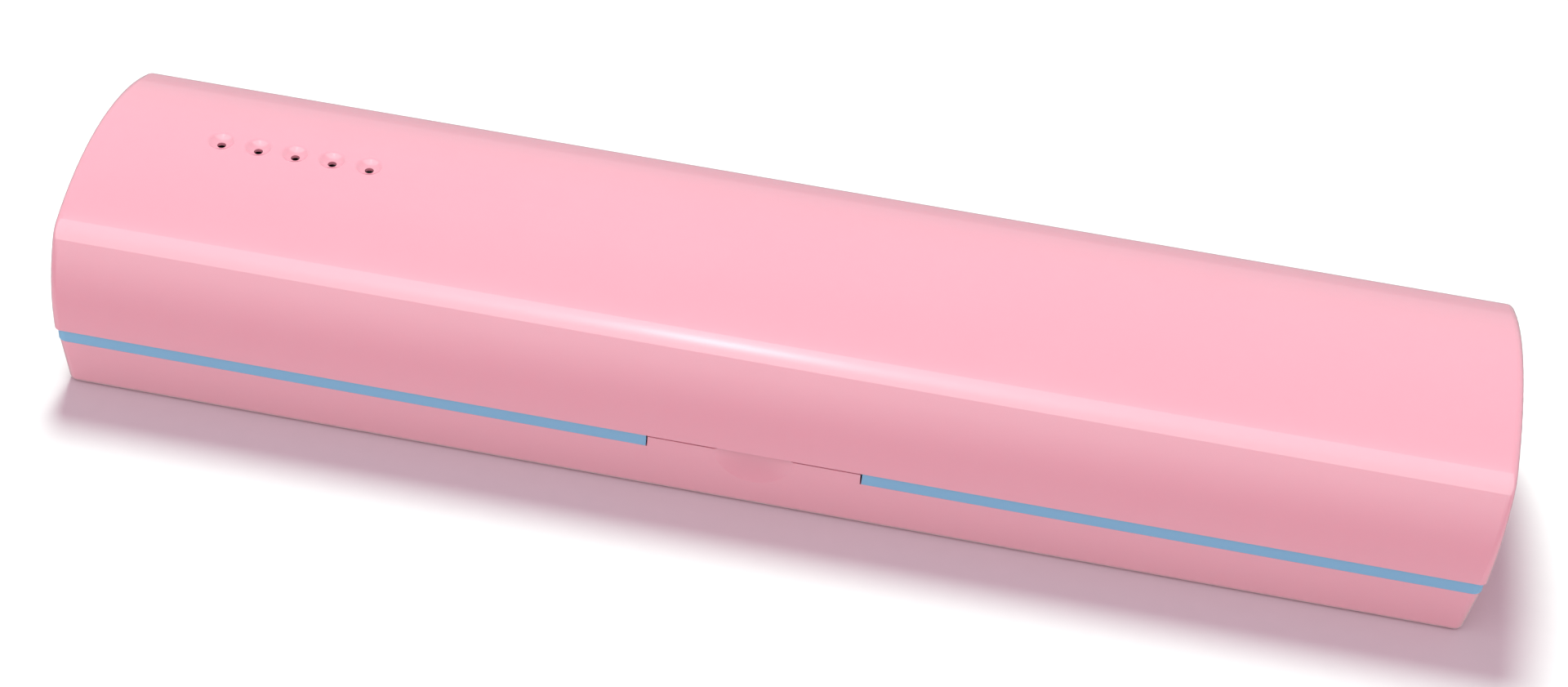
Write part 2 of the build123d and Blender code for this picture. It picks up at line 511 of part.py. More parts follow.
with BuildPart() as lamp_window:
    glaze = 0.1
    window_x = (WINDOW_X[0] + glaze, WINDOW_X[1] - glaze)
    add(block(window_x, (HUMP_FRONT, WINDOW_BACK_Y - glaze), (WINDOW_SILL_Z + glaze, HUMP_TOP)))
    fillet(lamp_window.edges().filter_by(Axis.X).sort_by(Axis.Z)[-2:].sort_by(Axis.Y)[0], 1.0)
    add(block((-110, -40), (HUMP_FRONT + TRAY_WALL, 30), (0, HUMP_CEILING)), mode=Mode.SUBTRACT)
lamp_window.part.label = "lamp_window"

# ---------------------------------------------------------------- circuit board and what it carries
BOARD_HOLE = 1.1
CORE_X = (-18.0, -3.0)
CORE_Y = (3.9, 16.9)
CORE_Z = (6.6, 11.1)
LEG_Y = (8.4, 12.4)
WINDOW_WIDTH = 3.0
COIL_TOP = 12.3

with BuildPart() as circuit_board:
    add(block(BOARD_X, BOARD_Y, (BOARD_Z, BOARD_TOP)))
    with Locations(*[(x, y, BOARD_TOP) for x, y in BOARD_SCREW_AT]):
        Hole(BOARD_HOLE)
circuit_board.part.label = "circuit_board"

with BuildPart() as transformer_core:
    add(block(CORE_X, CORE_Y, CORE_Z))
    gap_x = (CORE_X[0] + 2.5, CORE_X[1] - 2.5)
    for y in ((LEG_Y[0] - WINDOW_WIDTH, LEG_Y[0]), (LEG_Y[1], LEG_Y[1] + WINDOW_WIDTH)):
        add(block(gap_x, y, (0, 20)), mode=Mode.SUBTRACT)
transformer_core.part.label = "transformer_core"

with BuildPart() as transformer_coil:
    coil_x = (gap_x[0] + 0.1, gap_x[1] - 0.1)
    coil_y = (LEG_Y[0] - WINDOW_WIDTH + 0.1, LEG_Y[1] + WINDOW_WIDTH - 0.1)
    add(block(coil_x, coil_y, (BOARD_TOP, COIL_TOP)))
    fillet(transformer_coil.edges().filter_by(Axis.X), 1.5)
    add(block((-30, 10), (LEG_Y[0] - TOUCH_GAP, LEG_Y[1] + TOUCH_GAP),
              (CORE_Z[0] - TOUCH_GAP, CORE_Z[1] + TOUCH_GAP)), mode=Mode.SUBTRACT)
transformer_coil.part.label = "transformer_coil"

CAPACITOR_AT = ((6.0, 5.9), (6.0, 14.9))
with BuildPart() as capacitors:
    with Locations(*[(x, y, BOARD_TOP) for x, y in CAPACITOR_AT]):
        Cylinder(2.5, 7.0, align=(Align.CENTER, Align.CENTER, Align.MIN))
    fillet(capacitors.faces().sort_by(Axis.Z)[-2:].edges(), 0.5)
capacitors.part.label = "capacitors"

CHIP_X = (15.0, 20.0)
CHIP_Y = (7.9, 12.9)
CHIP_LEGS = 4
with BuildPart() as driver_chip:
    add(block(CHIP_X, CHIP_Y, (BOARD_TOP + 0.15, BOARD_TOP + 1.6)))
    for i in range(CHIP_LEGS):
        leg_x = CHIP_X[0] + 0.6 + 1.27 * i
        add(block((leg_x - 0.2, leg_x + 0.2), (CHIP_Y[0] - 1.0, CHIP_Y[1] + 1.0),
                  (BOARD_TOP, BOARD_TOP + 0.4)))
driver_chip.part.label = "driver_chip"

RESISTOR_AT = ((25.0, 4.4), (25.0, 7.9), (25.0, 11.4), (25.0, 14.9), (30.5, 5.9), (30.5, 10.4))
with BuildPart() as board_resistors:
    for x, y in RESISTOR_AT:
        add(block((x - 1.5, x + 1.5), (y - 0.8, y + 0.8), (BOARD_TOP, BOARD_TOP + 0.7)))
board_resistors.part.label = "board_resistors"

# ---------------------------------------------------------------- lid switch
COLLAR_RADIUS = 3.0
COLLAR_HEIGHT = 0.9
STEM_RADIUS = 1.1
STEM_BOTTOM = 6.6
collar_top = HUMP_CEILING - PLUNGER_TRAVEL - 0.1

with BuildPart() as switch_body:
    half = SWITCH_SIDE / 2
    add(block((SWITCH_X - half, SWITCH_X + half), (SWITCH_Y - half, SWITCH_Y + half),
              (BOARD_TOP, SWITCH_TOP)))
    fillet(switch_body.edges().filter_by(Axis.Z), 0.4)
    with Locations((SWITCH_X, SWITCH_Y, SWITCH_TOP)):
        Hole(STEM_RADIUS + 0.1, depth=SWITCH_TOP - STEM_BOTTOM + 0.4)
switch_body.part.label = "switch_body"

with BuildPart() as switch_plunger:
    with Locations((SWITCH_X, SWITCH_Y, 0)):
        with Locations((0, 0, STEM_BOTTOM)):
            Cylinder(STEM_RADIUS, collar_top - STEM_BOTTOM, align=(Align.CENTER, Align.CENTER, Align.MIN))
        with Locations((0, 0, collar_top - COLLAR_HEIGHT)):
            Cylinder(COLLAR_RADIUS, COLLAR_HEIGHT, align=(Align.CENTER, Align.CENTER, Align.MIN))
        with Locations((0, 0, collar_top)):
            Cylinder(PLUNGER_RADIUS, PLUNGER_TOP - collar_top,
                     align=(Align.CENTER, Align.CENTER, Align.MIN))
    fillet(switch_plunger.faces().sort_by(Axis.Z)[-1].edges(), 0.5)
switch_plunger.part.label = "switch_plunger"

PLUNGER_WIRE = 0.2
spring_bottom = SWITCH_TOP + PLUNGER_WIRE + TOUCH_GAP
spring_top = collar_top - COLLAR_HEIGHT - PLUNGER_WIRE - TOUCH_GAP
plunger_coil = coil(1.9, PLUNGER_WIRE, spring_top - spring_bottom, 3)
with BuildPart() as plunger_spring:
    add(Pos(SWITCH_X, SWITCH_Y, spring_bottom) * plunger_coil)
plunger_spring.part.label = "plunger_spring"

# ---------------------------------------------------------------- screws
HEAD_RADIUS = 2.1
SINK_DEPTH = 1.25
BOARD_SHANK = 0.75

with BuildPart() as case_screws:
    for x, y in CASE_SCREW_AT:
        with Locations((x, y, 0.05)):
            Cone(HEAD_RADIUS, SHANK_RADIUS, SINK_DEPTH, align=(Align.CENTER, Align.CENTER, Align.MIN))
            Cylinder(SHANK_RADIUS, CASE_SCREW_LENGTH, align=(Align.CENTER, Align.CENTER, Align.MIN))
            Box(2.4, 0.5, 1.2, mode=Mode.SUBTRACT)
            Box(0.5, 2.4, 1.2, mode=Mode.SUBTRACT)
case_screws.part.label = "case_screws"

with BuildPart() as board_screws:
    for x, y in BOARD_SCREW_AT:
        with Locations((x, y, BOARD_TOP)):
            Cylinder(1.9, 1.2, align=(Align.CENTER, Align.CENTER, Align.MIN))
            Cylinder(BOARD_SHANK, BOARD_TOP - 2.2, align=(Align.CENTER, Align.CENTER, Align.MAX))
        with Locations((x, y, BOARD_TOP + 1.2)):
            Box(2.2, 0.4, 1.0, mode=Mode.SUBTRACT)
            Box(0.4, 2.2, 1.0, mode=Mode.SUBTRACT)
board_screws.part.label = "board_screws"

# ---------------------------------------------------------------- wiring inside the case
LEAD_RADIUS = 0.55


def lead(points):
    """A round wire along the points, its corners rounded."""
    with BuildLine() as path:
        FilletPolyline(*points, radius=LEAD_BEND)
    with BuildPart() as wire:
        with BuildSketch(Plane(origin=path.line @ 0, z_dir=path.line % 0)):
            Circle(LEAD_RADIUS)
        sweep(path=path.line)
    return wire.part


LEAD_Z = 3.0
JOINT_X = -37.2
LONG_LEAD_Y = 15.2
CELL_LEAD_Y = (7.4, 13.4)
CELL_LEAD_END_X = 41.0
LEAD_BEND = 0.7
outer_drop = cap_left[0] - 1.7
inner_drop = cap_right[1] + 2.3
long_lead = lead([(cap_left[0], TUBE_Y, TUBE_Z), (outer_drop, TUBE_Y, TUBE_Z),
                  (outer_drop, LONG_LEAD_Y, TUBE_Z), (outer_drop, LONG_LEAD_Y, LEAD_Z),
                  (JOINT_X, LONG_LEAD_Y, LEAD_Z), (JOINT_X, LONG_LEAD_Y, BOARD_Z)])
short_lead = lead([(cap_right[1], TUBE_Y, TUBE_Z), (inner_drop, TUBE_Y, TUBE_Z),
                   (inner_drop, TUBE_Y, LEAD_Z), (JOINT_X, TUBE_Y, LEAD_Z),
                   (JOINT_X, TUBE_Y, BOARD_Z)])
with BuildPart() as lamp_leads:
    add(long_lead)
    add(short_lead)
lamp_leads.part.label = "lamp_leads"

cell_leads = [lead([(BAY_X[0], y, LEAD_Z), (CELL_LEAD_END_X, y, LEAD_Z),
                    (CELL_LEAD_END_X, y, BOARD_Z)]) for y in CELL_LEAD_Y]
with BuildPart() as battery_leads:
    for wire in cell_leads:
        add(wire)
battery_leads.part.label = "battery_leads"

# ---------------------------------------------------------------- files
subparts = [
    lid_shell, base_shell, inner_tray, hinge_pins, battery_door, battery_cells,
    battery_terminals, bridge_contact, contact_springs, lamp_tube, lamp_caps,
    lamp_electrodes, lamp_holders, reflector, lamp_window, circuit_board, transformer_core,
    transformer_coil, capacitors, driver_chip, board_resistors, switch_body, switch_plunger,
    plunger_spring, case_screws, board_screws, lamp_leads, battery_leads,
]
os.makedirs("parts", exist_ok=True)
for sub in subparts:
    export_step(sub.part, f"parts/{sub.part.label}.step")
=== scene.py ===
"""Looks for a travel toothbrush sanitizer: finishes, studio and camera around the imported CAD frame.

Everything is in metres in the frame's own axes: +Z up, X along the case, -Y towards the thumb scoop.
"""
from __future__ import annotations

import logging
import math
from dataclasses import dataclass
from enum import Enum
from typing import Sequence

import bpy
import numpy as np
from mathutils import Euler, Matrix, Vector


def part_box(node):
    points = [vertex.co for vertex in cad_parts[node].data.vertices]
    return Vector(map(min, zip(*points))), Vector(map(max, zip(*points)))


LOG = logging.getLogger("sanitizer")
MM = 0.001
NOISE_LOW, NOISE_HIGH = 0.3, 0.7  # fractal noise lies almost wholly between these
MIX_FACTOR, MIX_FIRST, MIX_SECOND, MIX_RESULT = 0, 6, 7, 2  # colour sockets of a Mix node
Colour = tuple[float, float, float]
WHITE: Colour = (1.0, 1.0, 1.0)
Socket = bpy.types.NodeSocket
Node = bpy.types.Node

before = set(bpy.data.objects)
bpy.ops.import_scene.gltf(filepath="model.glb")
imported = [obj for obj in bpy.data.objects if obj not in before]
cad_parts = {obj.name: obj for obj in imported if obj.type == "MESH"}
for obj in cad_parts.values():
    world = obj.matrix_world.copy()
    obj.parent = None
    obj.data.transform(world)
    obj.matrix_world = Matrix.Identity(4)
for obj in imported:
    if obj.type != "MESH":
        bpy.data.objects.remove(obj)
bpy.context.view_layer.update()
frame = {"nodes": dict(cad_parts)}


def linear(red: float, green: float, blue: float) -> Colour:
    """Linear colour of a display colour given in 0 to 255.

    Args:
        red, green, blue: display levels.

    Returns:
        The same colour in scene-linear values.
    """
    levels = np.array([red, green, blue]) / 255.0
    low = levels / 12.92
    high = ((levels + 0.055) / 1.055) ** 2.4
    return tuple(float(v) for v in np.where(levels <= 0.04045, low, high))


# ------------------------------------------------------------------ shader graphs
class Graph:
    """Short names for building a node tree."""

    def __init__(self, tree: bpy.types.NodeTree) -> None:
        """Wraps the tree."""
        self.tree = tree

    def node(self, kind: str, **settings: object) -> Node:
        """Adds a node.

        Args:
            kind: Blender's name for the node type.
            settings: its properties.

        Returns:
            The new node.
        """
        made = self.tree.nodes.new(kind)
        for key, value in settings.items():
            setattr(made, key, value)
        return made

    def feed(self, socket: Socket, value: object) -> None:
        """Links an output to the socket, or sets the socket's own value.

        Args:
            socket: the input.
            value: an output socket, a number or a colour.
        """
        if isinstance(value, bpy.types.NodeSocket):
            self.tree.links.new(value, socket)
        elif socket.type == "RGBA":
            socket.default_value = (*value[:3], 1.0)
        else:
            socket.default_value = value

    def maths(self, operation: str, first: object, second: object = 0.0, clamp: bool = False) -> Socket:
        """One Math node.

        Args:
            operation: the node's operation.
            first, second: sockets or numbers.
            clamp: whether the result is kept in 0 to 1.

        Returns:
            The result.
        """
        made = self.node("ShaderNodeMath", operation=operation, use_clamp=clamp)
        self.feed(made.inputs[0], first)
        self.feed(made.inputs[1], second)
        return made.outputs[0]

    def spread(self, value: Socket, low: float, high: float, to_low: float, to_high: float) -> Socket:
        """Maps a value from one range to another, held at its ends.

        Args:
            value: the value.
            low, high: its range.
            to_low, to_high: the range of the result.

        Returns:
            The mapped value.
        """
        made = self.node("ShaderNodeMapRange")
        for socket, amount in zip(made.inputs, (value, low, high, to_low, to_high)):
            self.feed(socket, amount)
        return made.outputs[0]

    def bell(self, value: Socket, middle: float, spread: float) -> Socket:
        """A bell curve: e to the minus square of the distance from the middle over the spread.

        Args:
            value: the value.
            middle: where the bell is 1.
            spread: how far off it falls to 0.37.

        Returns:
            The bell's height.
        """
        off = self.maths("DIVIDE", self.maths("SUBTRACT", value, middle), spread)
        square = self.maths("MULTIPLY", off, off)
        return self.maths("EXPONENT", self.maths("MULTIPLY", square, -1.0))

    def mix(self, factor: object, first: object, second: object, mode: str = "MIX") -> Socket:
        """Mixes two colours.

        Args:
            factor: how much of the second.
            first, second: sockets or colours.
            mode: the blend mode.

        Returns:
            The mixed colour.
        """
        made = self.node("ShaderNodeMix", data_type="RGBA", blend_type=mode)
        self.feed(made.inputs[MIX_FACTOR], factor)
        self.feed(made.inputs[MIX_FIRST], first)
        self.feed(made.inputs[MIX_SECOND], second)
        return made.outputs[MIX_RESULT]

    def place(self) -> Socket:
        """Object coordinates."""
        return self.node("ShaderNodeTexCoord").outputs["Object"]

    def noise(self, place: Socket, scale: object, detail: float = 2.0, roughness: float = 0.5) -> Socket:
        """Fractal noise over the place.

        Args:
            place: coordinates.
            scale: cells per metre.
            detail, roughness: the fractal's settings.

        Returns:
            Its value, about 0.5 on average.
        """
        made = self.node("ShaderNodeTexNoise")
        self.feed(made.inputs["Vector"], place)
        self.feed(made.inputs["Scale"], scale)
        made.inputs["Detail"].default_value = detail
        made.inputs["Roughness"].default_value = roughness
        return made.outputs["Fac"]

    def stretch(self, place: Socket, scale: Sequence[float]) -> Socket:
        """Coordinates scaled along each axis."""
        made = self.node("ShaderNodeMapping")
        self.feed(made.inputs["Vector"], place)
        made.inputs["Scale"].default_value = scale
        return made.outputs[0]

    def split(self, place: Socket) -> tuple[Socket, Socket, Socket]:
        """The X, Y and Z of a vector."""
        made = self.node("ShaderNodeSeparateXYZ")
        self.feed(made.inputs[0], place)
        return made.outputs[0], made.outputs[1], made.outputs[2]


class Effect(Enum):
    """Shader groups that more than one material uses."""

    SKIN = "moulded_skin"
    BRUSH = "drawn_metal"
    DUST = "settled_dust"


class Effects:
    """Builds each shared shader group once."""

    def __init__(self) -> None:
        """Starts with no groups."""
        self.made: dict[Effect, bpy.types.NodeTree] = {}

    def group(self, effect: Effect) -> bpy.types.NodeTree:
        """The group for that effect, built on first use."""
        if effect not in self.made:
            builder = {Effect.SKIN: self.skin, Effect.BRUSH: self.brush, Effect.DUST: self.dust}
            self.made[effect] = builder[effect]()
        return self.made[effect]

    @staticmethod
    def shell(effect: Effect, inputs: Sequence[tuple[str, str, object]],
              outputs: Sequence[tuple[str, str]]) -> tuple[Graph, Node, Node]:
        """An empty group with its sockets.

        Args:
            effect: which effect it is.
            inputs: name, socket type and default of each input.
            outputs: name and socket type of each output.

        Returns:
            The graph and its input and output nodes.
        """
        tree = bpy.data.node_groups.new(effect.value, "ShaderNodeTree")
        for name, kind, default in inputs:
            socket = tree.interface.new_socket(name=name, in_out="INPUT", socket_type=kind)
            socket.default_value = default
        for name, kind in outputs:
            tree.interface.new_socket(name=name, in_out="OUTPUT", socket_type=kind)
        graph = Graph(tree)
        return graph, graph.node("NodeGroupInput"), graph.node("NodeGroupOutput")

    def skin(self) -> bpy.types.NodeTree:
        """Moulded plastic: faint flow mottling, a fine orange peel and uneven gloss."""
        graph, given, result = self.shell(
            Effect.SKIN,
            [("Color", "NodeSocketColor", (0.8, 0.8, 0.8, 1.0)), ("Roughness", "NodeSocketFloat", 0.3),
             ("Mottling", "NodeSocketFloat", 0.03), ("Grain", "NodeSocketFloat", 900.0)],
            [("Color", "NodeSocketColor"), ("Roughness", "NodeSocketFloat"),
             ("Height", "NodeSocketFloat")])
        place = graph.place()
        flow = graph.noise(graph.stretch(place, (0.35, 1.0, 1.0)), 60.0, 3.0)
        swing = graph.maths("MULTIPLY", graph.maths("SUBTRACT", flow, 0.5), given.outputs["Mottling"])
        tint = graph.node("ShaderNodeHueSaturation")
        graph.feed(tint.inputs["Value"], graph.maths("ADD", swing, 1.0))
        graph.feed(tint.inputs["Color"], given.outputs["Color"])
        graph.feed(result.inputs["Color"], tint.outputs["Color"])
        haze = graph.noise(place, 140.0, 4.0, 0.6)
        uneven = graph.spread(haze, NOISE_LOW, NOISE_HIGH, 0.85, 1.2)
        graph.feed(result.inputs["Roughness"],
                   graph.maths("MULTIPLY", given.outputs["Roughness"], uneven, clamp=True))
        peel = graph.noise(place, given.outputs["Grain"], 2.0)
        graph.feed(result.inputs["Height"], peel)
        return graph.tree

    def brush(self) -> bpy.types.NodeTree:
        """Drawn or rolled metal: fine lines along X in tone, gloss and height."""
        graph, given, result = self.shell(
            Effect.BRUSH,
            [("Color", "NodeSocketColor", (0.7, 0.7, 0.7, 1.0)), ("Roughness", "NodeSocketFloat", 0.3),
             ("Lines", "NodeSocketFloat", 3000.0)],
            [("Color", "NodeSocketColor"), ("Roughness", "NodeSocketFloat"),
             ("Height", "NodeSocketFloat")])
        place = graph.place()
        lines = graph.noise(graph.stretch(place, (0.03, 1.0, 1.0)), given.outputs["Lines"], 3.0, 0.7)
        tarnish = graph.noise(place, 250.0, 4.0, 0.6)
        tone = graph.node("ShaderNodeHueSaturation")
        shade = graph.maths("MULTIPLY", graph.spread(lines, NOISE_LOW, NOISE_HIGH, 0.9, 1.08),
                            graph.spread(tarnish, 0.35, 0.7, 1.0, 0.9))
        graph.feed(tone.inputs["Value"], shade)
        graph.feed(tone.inputs["Color"], given.outputs["Color"])
        graph.feed(result.inputs["Color"], tone.outputs["Color"])
        graph.feed(result.inputs["Roughness"],
                   graph.maths("MULTIPLY", given.outputs["Roughness"],
                               graph.spread(tarnish, NOISE_LOW, NOISE_HIGH, 0.8, 1.35), clamp=True))
        graph.feed(result.inputs["Height"], lines)
        return graph.tree

    def dust(self) -> bpy.types.NodeTree:
        """A mask of sparse specks and faint film on faces that look up."""
        graph, given, result = self.shell(
            Effect.DUST, [("Amount", "NodeSocketFloat", 0.2)], [("Mask", "NodeSocketFloat")])
        place = graph.place()
        normal = graph.node("ShaderNodeNewGeometry").outputs["Normal"]
        up = graph.spread(graph.split(normal)[2], 0.2, 1.0, 0.0, 1.0)
        film = graph.spread(graph.noise(place, 45.0, 5.0, 0.65), 0.45, 0.75, 0.0, 1.0)
        cover = graph.maths("MULTIPLY", up, film)
        graph.feed(result.inputs["Mask"], graph.maths("MULTIPLY", cover, given.outputs["Amount"]))
        return graph.tree


EFFECTS = Effects()


class Surface:
    """One material: a Principled shader with helpers for its shared effects."""

    def __init__(self, name: str) -> None:
        """Makes the material with an empty Principled shader."""
        self.material = bpy.data.materials.new(name)
        self.material.use_nodes = True
        tree = self.material.node_tree
        tree.nodes.clear()
        self.graph = Graph(tree)
        self.shader = self.graph.node("ShaderNodeBsdfPrincipled")
        output = self.graph.node("ShaderNodeOutputMaterial")
        tree.links.new(self.shader.outputs[0], output.inputs["Surface"])

    def put(self, **values: object) -> None:
        """Feeds the shader's inputs, named with underscores for spaces."""
        for name, value in values.items():
            self.graph.feed(self.shader.inputs[name.replace("_", " ")], value)

    def effect(self, effect: Effect, **values: object) -> Node:
        """Places a shared group with its inputs set.

        Args:
            effect: which group.
            values: its inputs.

        Returns:
            The group node.
        """
        made = self.graph.node("ShaderNodeGroup", node_tree=EFFECTS.group(effect))
        for name, value in values.items():
            self.graph.feed(made.inputs[name], value)
        return made

    def bump(self, height: Socket, depth: float, strength: float = 1.0) -> None:
        """Bumps the surface.

        Args:
            height: the height field, about 0 to 1.
            depth: metres from its lowest to its highest.
            strength: how much of it shows.
        """
        made = self.graph.node("ShaderNodeBump")
        made.inputs["Distance"].default_value = depth
        made.inputs["Strength"].default_value = strength
        self.graph.feed(made.inputs["Height"], height)
        self.graph.feed(self.shader.inputs["Normal"], made.outputs[0])


# ------------------------------------------------------------------ finishes
@dataclass(frozen=True)
class Plastic:
    """Moulded plastic, glossy or satin."""

    name: str
    colour: Colour
    roughness: float = 0.3
    mottling: float = 0.04
    grain: float = 900.0
    depth: float = 0.02 * MM
    coat: float = 0.0
    coat_roughness: float = 0.05
    coat_ior: float = 1.5
    shine: float = 0.5
    glow: float = 0.0
    glow_radius: Colour = (1.0, 0.45, 0.5)
    glow_depth: float = 1.2 * MM
    dust: float = 0.0
    dust_colour: Colour = (0.82, 0.80, 0.78)
    dust_haze: float = 0.4

    def build(self) -> bpy.types.Material:
        """The finished material."""
        surface = Surface(self.name)
        skin = surface.effect(Effect.SKIN, Color=self.colour, Roughness=self.roughness,
                              Mottling=self.mottling, Grain=self.grain)
        colour = skin.outputs["Color"]
        rough = skin.outputs["Roughness"]
        if self.dust:
            mask = surface.effect(Effect.DUST, Amount=self.dust).outputs["Mask"]
            colour = surface.graph.mix(mask, colour, self.dust_colour)
            haze = surface.graph.maths("MULTIPLY", mask, self.dust_haze)
            rough = surface.graph.maths("ADD", rough, haze, clamp=True)
        surface.put(Base_Color=colour, Roughness=rough, Coat_Weight=self.coat,
                    Coat_Roughness=self.coat_roughness, Coat_IOR=self.coat_ior,
                    Specular_IOR_Level=self.shine)
        if self.glow:
            surface.put(Subsurface_Weight=self.glow, Subsurface_Radius=self.glow_radius,
                        Subsurface_Scale=self.glow_depth)
        surface.bump(skin.outputs["Height"], self.depth)
        return surface.material


@dataclass(frozen=True)
class Metal:
    """Drawn, rolled or plated metal."""

    name: str
    colour: Colour
    roughness: float = 0.3
    lines: float = 3000.0
    depth: float = 0.01 * MM

    def build(self) -> bpy.types.Material:
        """The finished material."""
        surface = Surface(self.name)
        brush = surface.effect(Effect.BRUSH, Color=self.colour, Roughness=self.roughness,
                               Lines=self.lines)
        surface.put(Base_Color=brush.outputs["Color"], Roughness=brush.outputs["Roughness"],
                    Metallic=1.0)
        surface.bump(brush.outputs["Height"], self.depth)
        return surface.material


@dataclass(frozen=True)
class Glass:
    """Clear glass or clear moulded plastic."""

    name: str
    colour: Colour
    ior: float = 1.49
    roughness: float = 0.03
    ripple: float = 0.01 * MM

    def build(self) -> bpy.types.Material:
        """The finished material."""
        surface = Surface(self.name)
        place = surface.graph.place()
        haze = surface.graph.noise(place, 120.0, 3.0)
        surface.put(Base_Color=self.colour, Transmission_Weight=1.0, IOR=self.ior,
                    Roughness=surface.graph.spread(haze, NOISE_LOW, NOISE_HIGH, self.roughness * 0.5,
                                                   self.roughness * 2.0))
        surface.bump(surface.graph.noise(place, 90.0, 2.0), self.ripple)
        return surface.material


@dataclass(frozen=True)
class CircuitBoard:
    """Green solder mask over copper tracks, with bare edges of laminate."""

    name: str = "board_mask"
    mask: Colour = (0.012, 0.13, 0.045)
    track: Colour = (0.03, 0.24, 0.075)
    edge: Colour = (0.42, 0.38, 0.18)
    bricks: tuple[tuple[str, float], ...] = (
        ("Scale", 330.0), ("Mortar Size", 0.16), ("Brick Width", 2.6), ("Row Height", 0.8),
        ("Mortar Smooth", 0.1))
    depth: float = 0.03 * MM

    def build(self) -> bpy.types.Material:
        """The finished material."""
        surface = Surface(self.name)
        graph = surface.graph
        place = graph.place()
        tracks = graph.node("ShaderNodeTexBrick")
        graph.feed(tracks.inputs["Vector"], place)
        tracks.offset = 0.37
        for name, value in self.bricks:
            tracks.inputs[name].default_value = value
        copper = graph.maths("SUBTRACT", 1.0, tracks.outputs["Fac"])
        face = graph.mix(copper, self.mask, self.track)
        normal = graph.node("ShaderNodeNewGeometry").outputs["Normal"]
        flat = graph.maths("GREATER_THAN", graph.maths("ABSOLUTE", graph.split(normal)[2]), 0.5)
        weave = graph.noise(place, 1500.0, 2.0)
        surface.put(Base_Color=graph.mix(flat, self.edge, face),
                    Roughness=graph.spread(weave, NOISE_LOW, NOISE_HIGH, 0.25, 0.42))
        surface.bump(graph.maths("ADD", copper, graph.maths("MULTIPLY", weave, 0.3)), self.depth)
        return surface.material


@dataclass(frozen=True)
class CellWrap:
    """A dry cell: a printed sleeve with a bright band, and bare steel at the ends."""

    name: str
    middle: float
    half_length: float
    dark: Colour = (0.018, 0.02, 0.024)
    band: Colour = (0.55, 0.32, 0.06)
    steel: Colour = (0.68, 0.68, 0.70)
    rubbed: Colour = (0.5, 0.5, 0.5)
    band_start: float = 0.45  # share of the half length
    depth: float = 0.01 * MM

    def build(self) -> bpy.types.Material:
        """The finished material."""
        surface = Surface(self.name)
        graph = surface.graph
        place = graph.place()
        along = graph.maths("SUBTRACT", graph.split(place)[0], self.middle)
        end = graph.maths("GREATER_THAN", graph.maths("ABSOLUTE", along), self.half_length)
        banded = graph.maths("GREATER_THAN", along, self.half_length * self.band_start)
        scuff = graph.noise(place, 400.0, 5.0, 0.7)
        sleeve = graph.mix(banded, self.dark, self.band)
        worn = graph.mix(graph.spread(scuff, 0.58, 0.75, 0.0, 0.25), sleeve, self.rubbed)
        surface.put(Base_Color=graph.mix(end, worn, self.steel), Metallic=end,
                    Roughness=graph.spread(scuff, NOISE_LOW, NOISE_HIGH, 0.22, 0.4))
        surface.bump(scuff, self.depth)
        return surface.material


@dataclass(frozen=True)
class Winding:
    """Tape wound round a coil, with its turns just showing."""

    name: str = "winding_tape"
    colour: Colour = (0.72, 0.43, 0.045)
    turns_scale: float = 420.0
    waver: float = 0.4
    groove_shade: float = 0.6
    depth: float = 0.06 * MM

    def build(self) -> bpy.types.Material:
        """The finished material."""
        surface = Surface(self.name)
        graph = surface.graph
        place = graph.place()
        turns = graph.node("ShaderNodeTexWave", wave_type="BANDS", bands_direction="X",
                           wave_profile="SIN")
        graph.feed(turns.inputs["Vector"], place)
        turns.inputs["Scale"].default_value = self.turns_scale
        turns.inputs["Distortion"].default_value = self.waver
        ridges = turns.outputs["Fac"]
        dark = tuple(self.groove_shade * c for c in self.colour)
        surface.put(Base_Color=graph.mix(graph.spread(ridges, 0.0, 1.0, 0.0, 0.6), self.colour, dark),
                    Roughness=graph.spread(graph.noise(place, 500.0), NOISE_LOW, NOISE_HIGH, 0.3, 0.5))
        surface.bump(ridges, self.depth)
        return surface.material


# ------------------------------------------------------------------ the object
@dataclass
class Dresser:
    """Gives CAD nodes their finished materials."""

    nodes: dict[str, bpy.types.Object]

    def dress(self, material: bpy.types.Material, *names: str) -> None:
        """Puts the material on every slot of the named nodes.

        Args:
            material: the finished material.
            names: CAD node names.
        """
        for name in names:
            for slot in self.nodes[name].material_slots:
                slot.material = material
            LOG.info("dressed %s with %s", name, material.name)


@dataclass
class Shells:
    """The pink lid, base and door, and the blue tray."""

    pink: Colour = linear(237, 158, 176)
    blue: Colour = linear(127, 172, 207)

    def build(self, dresser: Dresser) -> None:
        """Dresses the shells."""
        pink = Plastic("shell_gloss", self.pink, roughness=0.22, mottling=0.03, grain=700.0,
                       depth=0.003 * MM, coat=1.0, coat_roughness=0.035, coat_ior=2.1, shine=1.0,
                       glow=0.12, dust=0.02)
        dresser.dress(pink.build(), "lid_shell", "base_shell", "battery_door")
        blue = Plastic("tray_satin", self.blue, roughness=0.34, mottling=0.05, grain=1400.0,
                       depth=0.012 * MM, glow=0.08)
        dresser.dress(blue.build(), "inner_tray")


